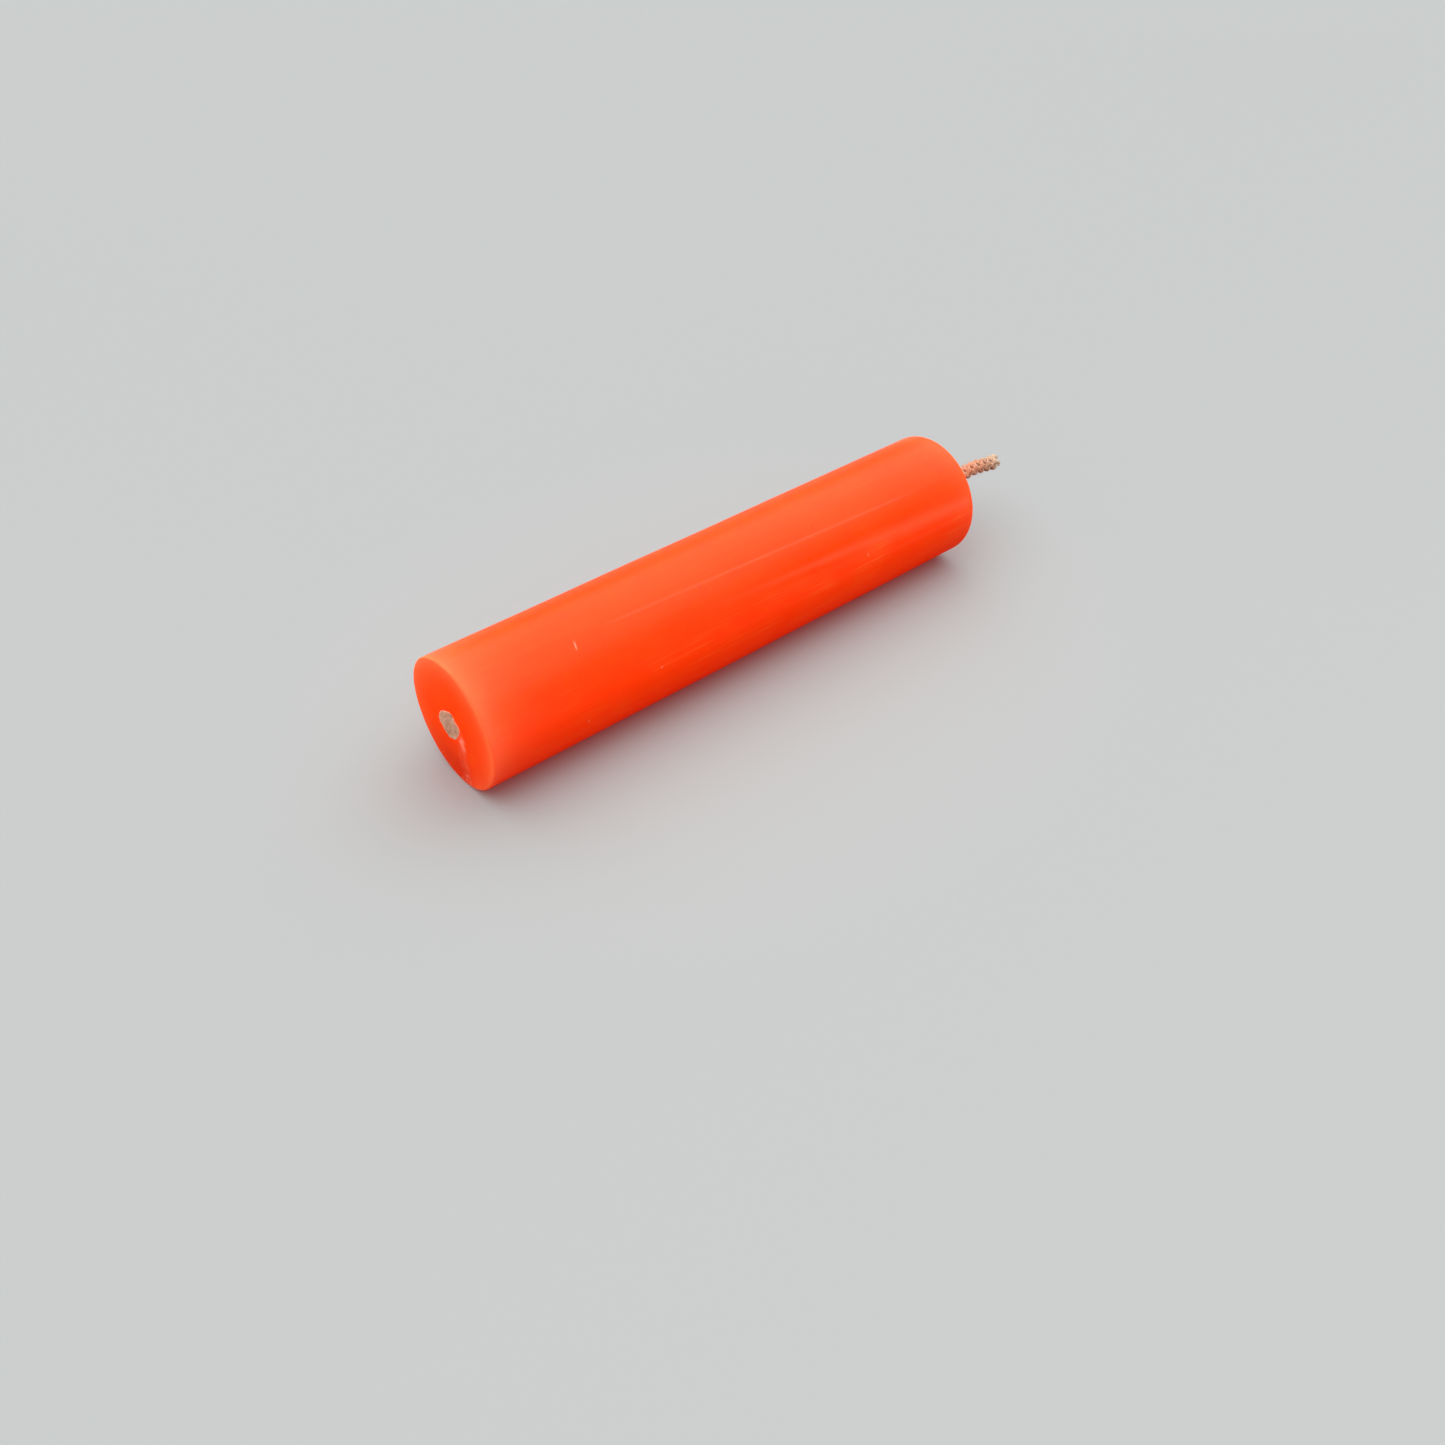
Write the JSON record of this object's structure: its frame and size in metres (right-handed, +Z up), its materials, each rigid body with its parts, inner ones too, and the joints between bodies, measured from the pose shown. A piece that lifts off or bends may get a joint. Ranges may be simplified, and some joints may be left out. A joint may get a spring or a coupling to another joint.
{
  "type": "candle",
  "caption": "Short, fat round candle of neon orange wax with flat ends and a round-braided cotton wick whose free end bends.",
  "frame": {"origin": "on the plane the candle lies on, straight below the middle of its overall length (wick included)", "axes": "+X along the candle from its flat base to the tip of the wick, +Z up with the candle lying on its side, +Y to the left seen from the base; the wax axis is the line y = 0, z = 12.5 mm"},
  "size_m": [0.1382, 0.025, 0.025],
  "materials": {
    "wax": "smooth and semi-matt, slightly translucent wax with a fluorescent pigment",
    "wick_cotton": "braided cotton yarn, tinted by the wax it has soaked up"
  },
  "bodies": {
    "candle": {"wax_body": "wax", "wick_strand_1_embedded": "wick_cotton", "wick_strand_2_embedded": "wick_cotton", "wick_strand_3_embedded": "wick_cotton", "wick_strand_4_embedded": "wick_cotton", "wick_strand_5_embedded": "wick_cotton", "wick_strand_6_embedded": "wick_cotton", "wick_strand_7_embedded": "wick_cotton", "wick_strand_8_embedded": "wick_cotton", "wick_core_thread_embedded": "wick_cotton"},
    "wick_lower": {"wick_strand_1_lower": "wick_cotton", "wick_strand_2_lower": "wick_cotton", "wick_strand_3_lower": "wick_cotton", "wick_strand_4_lower": "wick_cotton", "wick_strand_5_lower": "wick_cotton", "wick_strand_6_lower": "wick_cotton", "wick_strand_7_lower": "wick_cotton", "wick_strand_8_lower": "wick_cotton", "wick_core_thread_lower": "wick_cotton"},
    "wick_middle": {"wick_strand_1_middle": "wick_cotton", "wick_strand_2_middle": "wick_cotton", "wick_strand_3_middle": "wick_cotton", "wick_strand_4_middle": "wick_cotton", "wick_strand_5_middle": "wick_cotton", "wick_strand_6_middle": "wick_cotton", "wick_strand_7_middle": "wick_cotton", "wick_strand_8_middle": "wick_cotton", "wick_core_thread_middle": "wick_cotton"},
    "wick_tip": {"wick_strand_1_tip": "wick_cotton", "wick_strand_2_tip": "wick_cotton", "wick_strand_3_tip": "wick_cotton", "wick_strand_4_tip": "wick_cotton", "wick_strand_5_tip": "wick_cotton", "wick_strand_6_tip": "wick_cotton", "wick_strand_7_tip": "wick_cotton", "wick_strand_8_tip": "wick_cotton", "wick_core_thread_tip": "wick_cotton"}
  },
  "joints": [
    {"name": "wick_bend_root", "type": "hinge", "parent": "candle", "child": "wick_lower", "pos_m": [0.04885, 0, 0.0125], "axis": [0, 1, 0], "range_deg": [-30, 30]},
    {"name": "wick_bend_middle", "type": "hinge", "parent": "wick_lower", "child": "wick_middle", "pos_m": [0.0554, 0, 0.01254], "axis": [0, 1, 0], "range_deg": [-30, 30]},
    {"name": "wick_bend_tip", "type": "hinge", "parent": "wick_middle", "child": "wick_tip", "pos_m": [0.0619, 0, 0.01314], "axis": [0, 1, 0], "range_deg": [-30, 30]}
  ]
}
